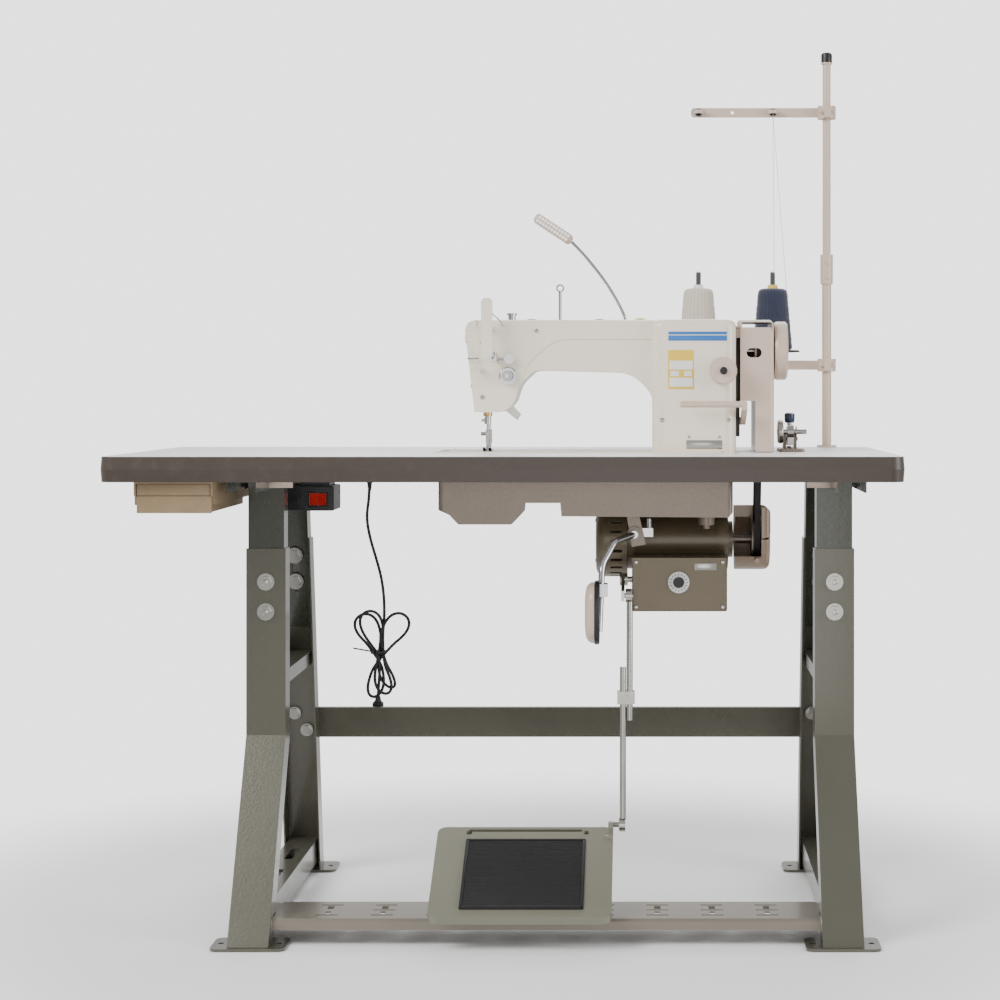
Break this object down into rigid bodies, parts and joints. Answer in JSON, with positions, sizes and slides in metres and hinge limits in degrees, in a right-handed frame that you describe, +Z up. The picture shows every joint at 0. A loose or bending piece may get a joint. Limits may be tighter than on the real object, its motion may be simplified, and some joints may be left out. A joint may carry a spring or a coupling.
{
  "type": "sewing machine",
  "caption": "Industrial lockstitch sewing machine on a laminate table and steel stand, with clutch motor, foot pedal, knee lifter, thread stand and lamp.",
  "frame": {"origin": "on the floor, at the bottom centre of the object's box", "axes": "+X to the operator's right along the table, +Y away from the operator, +Z up"},
  "size_m": [1.204, 0.644, 1.423],
  "materials": {
    "laminate": "satin",
    "edging": "satin",
    "stand_paint": "satin",
    "tube_paint": "gloss",
    "bar_paint": "satin",
    "head_enamel": "gloss",
    "cover_plastic": "satin",
    "cast_alloy": "cast",
    "motor_paint": "satin",
    "chrome": "polished",
    "zinc": "zinc plated",
    "steel": "ground",
    "black_plastic": "matte",
    "red_plastic": "gloss",
    "rubber": "matte",
    "white_thread": "wound thread",
    "navy_thread": "wound thread",
    "drawer_plastic": "satin"
  },
  "bodies": {
    "stand": {"table_top": "laminate", "table_edging": "edging", "left_side_frame": "stand_paint", "right_side_frame": "stand_paint", "upper_brackets": "tube_paint", "rear_beam": "stand_paint", "foot_bar": "bar_paint", "stand_bolts": "zinc", "oil_pan": "cast_alloy", "drawer_housing": "drawer_plastic", "switch_box": "black_plastic", "motor_housing": "motor_paint", "motor_fan_cover": "motor_paint", "control_box": "motor_paint", "motor_belt_guard": "cover_plastic", "v_belt": "rubber", "thread_pole": "cover_plastic", "guide_arm": "cover_plastic", "spool_arm": "cover_plastic", "white_thread_cone": "white_thread", "navy_thread_cone": "navy_thread", "winder_base": "cast_alloy", "knee_bracket": "cast_alloy", "power_cord": "rubber", "cord_hank": "rubber", "mains_plug": "black_plastic", "bed_hinges": "black_plastic"},
    "head": {"head_casting": "head_enamel", "face_plate": "head_enamel", "needle_plate": "steel", "belt_cover": "cover_plastic", "tension_assembly": "chrome", "thread_guides": "chrome", "lamp_base": "cover_plastic"},
    "handwheel": {"handwheel": "cover_plastic", "main_shaft": "steel"},
    "needle_bar": {"needle_bar": "chrome"},
    "take_up_lever": {"take_up_lever": "chrome"},
    "presser_bar": {"presser_bar": "chrome", "presser_foot": "steel"},
    "hand_lifter": {"hand_lifter": "zinc"},
    "reverse_lever": {"reverse_lever": "chrome"},
    "stitch_dial": {"stitch_dial": "black_plastic"},
    "tension_nut": {"tension_nut": "steel"},
    "lamp": {"lamp": "cover_plastic"},
    "slide_plate": {"slide_plate": "steel"},
    "rotary_hook": {"rotary_hook": "steel"},
    "feed_dog": {"feed_dog": "steel"},
    "pedal": {"pedal_plate": "bar_paint", "pedal_mat": "rubber"},
    "pitman_rod": {"pitman_rod": "zinc"},
    "motor_lever": {"motor_lever": "zinc"},
    "motor_pulley": {"motor_pulley": "cast_alloy"},
    "speed_dial": {"speed_dial": "black_plastic"},
    "power_rocker": {"power_rocker": "red_plastic"},
    "drawer": {"drawer": "drawer_plastic"},
    "knee_lever": {"knee_lever": "chrome", "knee_pad": "cover_plastic"},
    "winder_lever": {"winder_lever": "steel"},
    "winder_wheel": {"winder_wheel": "steel"}
  },
  "joints": [
    {"name": "head_tilt", "type": "hinge", "parent": "stand", "child": "head", "pos_m": [0.115, 0.066, 0.728], "axis": [-1, 0, 0], "range_deg": [0, 32], "deforming": ["v_belt"]},
    {"name": "handwheel_spin", "type": "hinge", "parent": "head", "child": "handwheel", "pos_m": [0.4, -0.034, 0.903], "axis": [1, 0, 0], "continuous": true},
    {"name": "needle_bar_slide", "type": "slide", "parent": "head", "child": "needle_bar", "axis": [0, 0, 1], "range_m": [-0.0307, 0]},
    {"name": "take_up_swing", "type": "hinge", "parent": "head", "child": "take_up_lever", "pos_m": [-0.038, -0.04, 0.922], "axis": [1, 0, 0], "range_deg": [0, 36.2]},
    {"name": "presser_lift", "type": "slide", "parent": "head", "child": "presser_bar", "axis": [0, 0, 1], "range_m": [0, 0.01]},
    {"name": "hand_lifter_swing", "type": "hinge", "parent": "head", "child": "hand_lifter", "pos_m": [-0.036, 0.02, 0.834], "axis": [0, 1, 0], "range_deg": [-35, 0]},
    {"name": "reverse_lever_press", "type": "hinge", "parent": "head", "child": "reverse_lever", "pos_m": [0.36, -0.06, 0.79], "axis": [1, 0, 0], "range_deg": [0, 11], "stiffness_Nm_per_rad": 2, "springref_deg": -22.92},
    {"name": "stitch_dial_turn", "type": "hinge", "parent": "head", "child": "stitch_dial", "pos_m": [0.337, -0.11, 0.87], "axis": [0, 1, 0], "range_deg": [0, 300]},
    {"name": "tension_nut_turn", "type": "hinge", "parent": "head", "child": "tension_nut", "pos_m": [-0.005, -0.11, 0.862], "axis": [0, 1, 0], "range_deg": [-180, 180]},
    {"name": "lamp_swing", "type": "hinge", "parent": "head", "child": "lamp", "pos_m": [0.18, 0.04, 0.945], "axis": [0, 0, 1], "range_deg": [-25, 35]},
    {"name": "slide_plate_slide", "type": "slide", "parent": "head", "child": "slide_plate", "axis": [-1, 0, 0], "range_m": [0, 0.045]},
    {"name": "hook_spin", "type": "hinge", "parent": "head", "child": "rotary_hook", "pos_m": [0, -0.034, 0.712], "axis": [1, 0, 0], "continuous": true},
    {"name": "feed_dog_slide", "type": "slide", "parent": "head", "child": "feed_dog", "axis": [0, 1, 0], "range_m": [0, 0.0025]},
    {"name": "pedal_tilt", "type": "hinge", "parent": "stand", "child": "pedal", "pos_m": [0.03, -0.235, 0.072], "axis": [1, 0, 0], "range_deg": [-6, 2.5], "stiffness_Nm_per_rad": 40},
    {"name": "pitman_swing", "type": "hinge", "parent": "pedal", "child": "pitman_rod", "pos_m": [0.176, -0.12, 0.154], "axis": [1, 0, 0], "range_deg": [-2.8, 6.7]},
    {"name": "motor_lever_swing", "type": "hinge", "parent": "stand", "child": "motor_lever", "pos_m": [0.19, -0.015, 0.532], "axis": [1, 0, 0], "range_deg": [-4.2, 9.9]},
    {"name": "motor_pulley_spin", "type": "hinge", "parent": "stand", "child": "motor_pulley", "pos_m": [0.398, 0.07, 0.592], "axis": [1, 0, 0], "continuous": true},
    {"name": "speed_dial_turn", "type": "hinge", "parent": "stand", "child": "speed_dial", "pos_m": [0.267, -0.06, 0.531], "axis": [0, 1, 0], "range_deg": [-135, 135]},
    {"name": "power_rocker_tip", "type": "hinge", "parent": "stand", "child": "power_rocker", "pos_m": [-0.322, 0.012, 0.661], "axis": [0, 0, 1], "range_deg": [-4, 4]},
    {"name": "drawer_slide", "type": "slide", "parent": "stand", "child": "drawer", "axis": [0, -1, 0], "range_m": [0, 0.2]},
    {"name": "knee_lever_swing", "type": "hinge", "parent": "stand", "child": "knee_lever", "pos_m": [0.196, -0.06, 0.61], "axis": [0, 1, 0], "range_deg": [0, 12]},
    {"name": "winder_lever_swing", "type": "hinge", "parent": "stand", "child": "winder_lever", "pos_m": [0.449, 0.001, 0.76], "axis": [1, 0, 0], "range_deg": [-4, 6]},
    {"name": "winder_wheel_spin", "type": "hinge", "parent": "winder_lever", "child": "winder_wheel", "pos_m": [0.449, -0.02, 0.772], "axis": [1, 0, 0], "continuous": true}
  ],
  "couplings": [
    {"joint": "take_up_swing", "follows": "needle_bar_slide", "rad_per_m": -20.5},
    {"joint": "feed_dog_slide", "follows": "needle_bar_slide", "ratio": -0.08},
    {"joint": "hook_spin", "follows": "handwheel_spin", "ratio": 2},
    {"joint": "motor_pulley_spin", "follows": "handwheel_spin", "ratio": 1},
    {"joint": "presser_lift", "follows": "knee_lever_swing", "m_per_rad": 0.0475},
    {"joint": "pitman_swing", "follows": "pedal_tilt", "ratio": -1.1},
    {"joint": "motor_lever_swing", "follows": "pedal_tilt", "ratio": -1.64}
  ]
}
